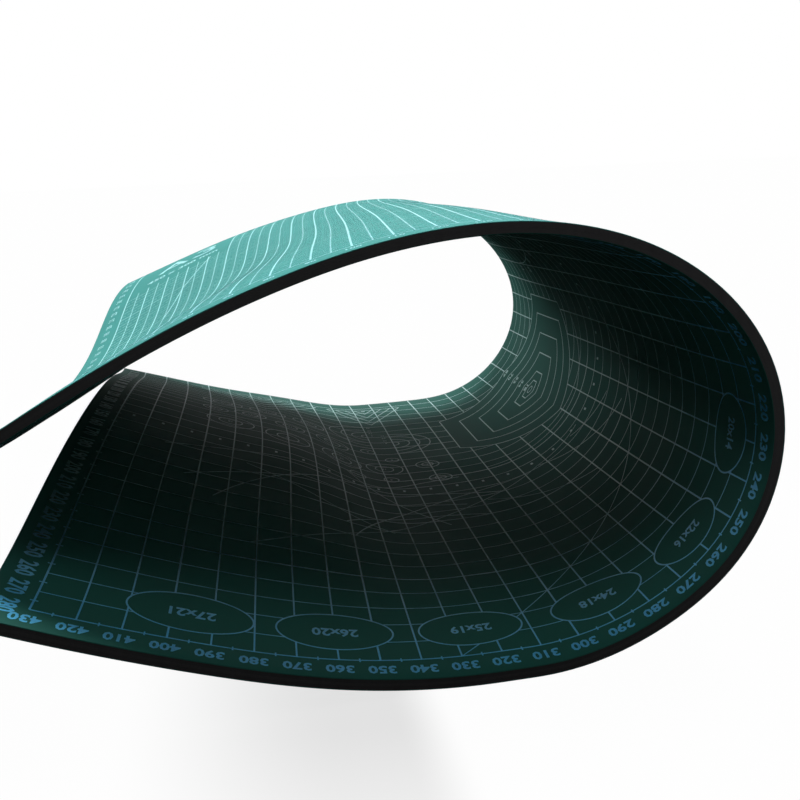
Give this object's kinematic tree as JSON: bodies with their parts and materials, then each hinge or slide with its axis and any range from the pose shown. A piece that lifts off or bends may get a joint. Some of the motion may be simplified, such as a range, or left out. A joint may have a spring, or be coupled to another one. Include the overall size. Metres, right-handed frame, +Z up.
{
  "type": "self-healing cutting mat",
  "caption": "Layered PVC cutting mat with printed measuring grids on both faces, curled into an open loop that rests on its belly.",
  "frame": {"origin": "middle of the footprint, on the surface that the belly of the curl rests on", "axes": "+X from the free ends to the nose of the curl, +Y across the mat from its near long edge to its far long edge, +Z up"},
  "size_m": [0.2162, 0.3286, 0.1048],
  "materials": {
    "green_film": "matt green PVC film with a fine grain",
    "black_healing_ply": "soft black PVC, cut clean at the edges",
    "core_ply": "firm dark grey PVC, cut clean at the edges",
    "pale_ink": "light blue printing ink"
  },
  "bodies": {
    "root": {"inner_color_film": "green_film", "inner_healing_ply": "black_healing_ply", "core_ply": "core_ply", "outer_healing_ply": "black_healing_ply", "outer_color_film": "green_film", "inner_grid_print": "pale_ink", "outer_grid_print": "pale_ink"}
  },
  "joints": []
}
